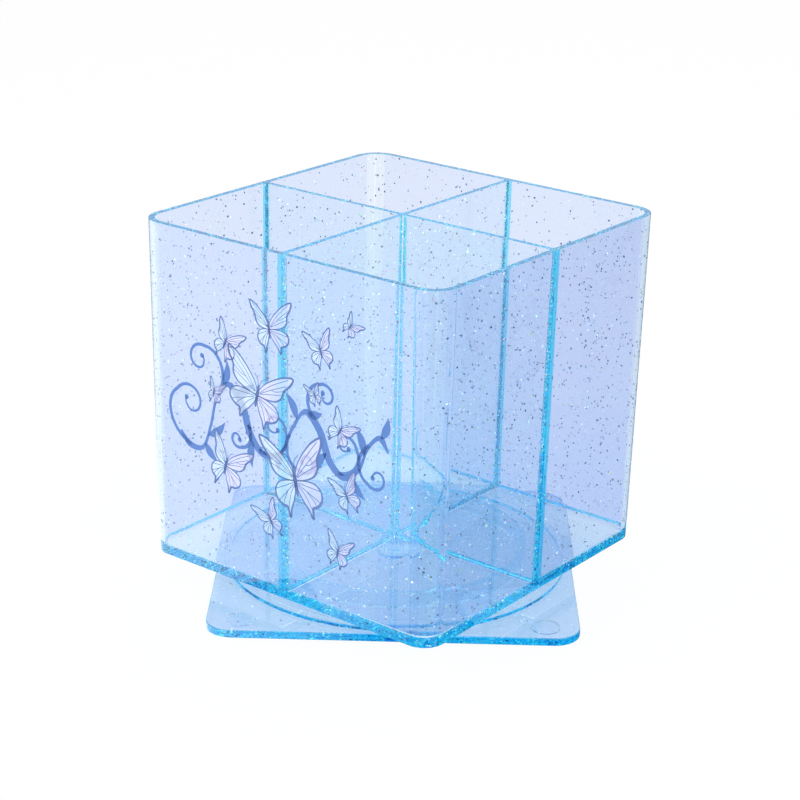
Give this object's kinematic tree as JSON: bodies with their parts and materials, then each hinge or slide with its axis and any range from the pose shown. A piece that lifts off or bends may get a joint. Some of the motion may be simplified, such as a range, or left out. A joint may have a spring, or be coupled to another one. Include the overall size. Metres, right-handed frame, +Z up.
{
  "type": "lazy susan organizer",
  "caption": "Square see-through desk organizer with a cross of dividers, spinning on a square base plate.",
  "frame": {"origin": "middle of the surface that the feet stand on, on the turntable's axis", "axes": "+Z up along the turntable's axis; X and Y square to the walls of the cup at rest; -Y is the printed wall"},
  "size_m": [0.14, 0.14, 0.1083],
  "materials": {
    "glitter_plastic": "polished see-through pale blue with glitter",
    "base_plastic": "polished see-through pale blue with glitter",
    "clear_plastic": "polished see-through pale blue",
    "pin_plastic": "see-through pale blue",
    "washer_plastic": "milky see-through",
    "foot_gel": "clear soft gel",
    "glitter_flakes": "bright foil flakes moulded into the plastic",
    "print_ink": "thin satin ink printed on the wall"
  },
  "bodies": {
    "base": {"base_plate": "base_plastic", "thrust_washer": "washer_plastic", "foot_front_left": "foot_gel", "foot_front_right": "foot_gel", "foot_back_left": "foot_gel", "foot_back_right": "foot_gel"},
    "cup": {"organizer_cup": "glitter_plastic", "turntable_ring": "clear_plastic", "pivot_pin": "pin_plastic"}
  },
  "joints": [
    {"name": "cup_spin", "type": "hinge", "parent": "base", "child": "cup", "pos_m": [0, 0, 0], "axis": [0, 0, 1], "continuous": true}
  ]
}
